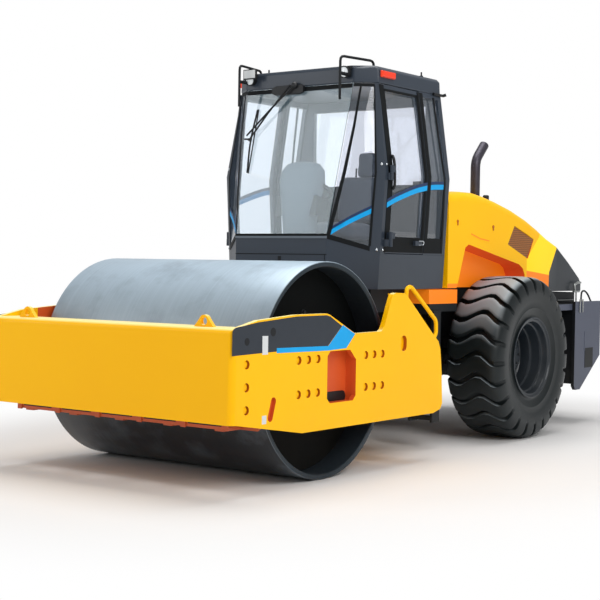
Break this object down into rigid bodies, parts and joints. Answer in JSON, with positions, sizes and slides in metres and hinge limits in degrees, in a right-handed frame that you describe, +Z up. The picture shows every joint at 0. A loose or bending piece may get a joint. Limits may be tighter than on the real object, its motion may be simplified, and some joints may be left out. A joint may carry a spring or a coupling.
{
  "type": "articulated single-drum road roller",
  "caption": "Articulated road roller with one wide smooth steel drum in a steered, rocking frame, a glazed cab over the pivot, a rear-hinged hood and large ribbed rear tyres.",
  "frame": {"origin": "on the ground under the middle of the machine's length and width", "axes": "+X to the machine's left, +Y to its rear, +Z up; the drum is at -Y"},
  "size_m": [2.35, 6.2804, 3.2719],
  "materials": {
    "yellow_paint": "gloss",
    "orange_paint": "satin",
    "grey_paint": "satin",
    "black_paint": "satin",
    "plate_grey": "satin",
    "rim_blue": "satin",
    "drum_steel": "rolled",
    "rod_chrome": "polished",
    "exhaust_steel": "heat-darkened",
    "cast_engine": "cast",
    "tyre_rubber": "matte",
    "seat_fabric": "woven",
    "black_plastic": "moulded",
    "cab_glass": "tinted",
    "grille_brown": "mesh"
  },
  "bodies": {
    "rear_frame": {"hinge_yoke": "grey_paint", "chassis": "grey_paint", "rear_axle": "grey_paint", "engine": "cast_engine", "cab_base": "grey_paint", "cab_rear_wall": "grey_paint", "cab_roof": "grey_paint", "front_post_left": "grey_paint", "front_post_right": "grey_paint", "windshield": "cab_glass", "rear_glass": "cab_glass", "corner_glass_left": "cab_glass", "corner_glass_right": "cab_glass", "quarter_glass_left": "cab_glass", "quarter_glass_right": "cab_glass", "seat": "seat_fabric", "steering_column": "black_plastic", "mirror_arm_left": "black_paint", "mirror_arm_right": "black_paint", "counterweight": "plate_grey", "side_platform_left": "black_paint", "side_platform_right": "black_paint"},
    "link": {"centre_link": "grey_paint"},
    "drum_frame": {"front_beam": "yellow_paint", "rear_crossbeam": "yellow_paint", "side_plate_left": "yellow_paint", "side_plate_right": "yellow_paint", "handrail_left": "yellow_paint", "handrail_right": "yellow_paint", "drum_carrier_left": "yellow_paint", "drum_carrier_right": "yellow_paint", "scraper_front": "orange_paint", "scraper_rear": "orange_paint"},
    "drum": {"drum_shell": "drum_steel", "drum_head_left": "drum_steel", "drum_head_right": "drum_steel"},
    "wheel_left": {"tyre_left": "tyre_rubber", "rim_left": "rim_blue"},
    "wheel_right": {"tyre_right": "tyre_rubber", "rim_right": "rim_blue"},
    "door_l": {"door_left": "grey_paint", "door_glass_left": "cab_glass"},
    "door_r": {"door_right": "grey_paint", "door_glass_right": "cab_glass"},
    "hood_assembly": {"hood": "yellow_paint", "hood_tail": "black_paint", "side_grille_left": "grille_brown", "side_grille_right": "grille_brown", "exhaust_stack": "exhaust_steel"},
    "barrel_left": {"steer_barrel_left": "black_paint"},
    "barrel_right": {"steer_barrel_right": "black_paint"},
    "rod_left": {"steer_rod_left": "rod_chrome"},
    "rod_right": {"steer_rod_right": "rod_chrome"}
  },
  "joints": [
    {"name": "steer", "type": "hinge", "parent": "rear_frame", "child": "link", "pos_m": [0, -0.27825, 0.76], "axis": [0, 0, 1], "range_deg": [-35, 35]},
    {"name": "frame_rock", "type": "hinge", "parent": "link", "child": "drum_frame", "pos_m": [0, -0.56, 0.76], "axis": [0, 1, 0], "range_deg": [-10, 10]},
    {"name": "drum_spin", "type": "hinge", "parent": "drum_frame", "child": "drum", "pos_m": [0, -1.91825, 0.8], "axis": [1, 0, 0], "continuous": true},
    {"name": "wheel_left_spin", "type": "hinge", "parent": "rear_frame", "child": "wheel_left", "pos_m": [0.885, 1.28175, 0.7465], "axis": [1, 0, 0], "continuous": true},
    {"name": "wheel_right_spin", "type": "hinge", "parent": "rear_frame", "child": "wheel_right", "pos_m": [-0.885, 1.28175, 0.7465], "axis": [1, 0, 0], "continuous": true},
    {"name": "door_left_hinge", "type": "hinge", "parent": "rear_frame", "child": "door_l", "pos_m": [0.852, -0.73625, 2], "axis": [0, 0, -1], "range_deg": [0, 100]},
    {"name": "door_right_hinge", "type": "hinge", "parent": "rear_frame", "child": "door_r", "pos_m": [-0.852, -0.73625, 2], "axis": [0, 0, 1], "range_deg": [0, 100]},
    {"name": "hood_hinge", "type": "hinge", "parent": "rear_frame", "child": "hood_assembly", "pos_m": [0, 3.05675, 1.325], "axis": [-1, 0, 0], "range_deg": [0, 45]},
    {"name": "barrel_left_swing", "type": "hinge", "parent": "rear_frame", "child": "barrel_left", "pos_m": [0.3, 0.52175, 0.76], "axis": [0, 0, 1], "range_deg": [-8, 8]},
    {"name": "barrel_right_swing", "type": "hinge", "parent": "rear_frame", "child": "barrel_right", "pos_m": [-0.3, 0.52175, 0.76], "axis": [0, 0, 1], "range_deg": [-8, 8]},
    {"name": "rod_left_slide", "type": "slide", "parent": "barrel_left", "child": "rod_left", "axis": [0, 1, 0], "range_m": [-0.18, 0.18]},
    {"name": "rod_right_slide", "type": "slide", "parent": "barrel_right", "child": "rod_right", "axis": [0, 1, 0], "range_m": [-0.18, 0.18]}
  ],
  "couplings": [
    {"joint": "barrel_left_swing", "follows": "steer", "ratio": 0.04},
    {"joint": "barrel_right_swing", "follows": "steer", "ratio": 0.04},
    {"joint": "rod_left_slide", "follows": "steer", "m_per_rad": 0.281},
    {"joint": "rod_right_slide", "follows": "steer", "m_per_rad": -0.281}
  ]
}
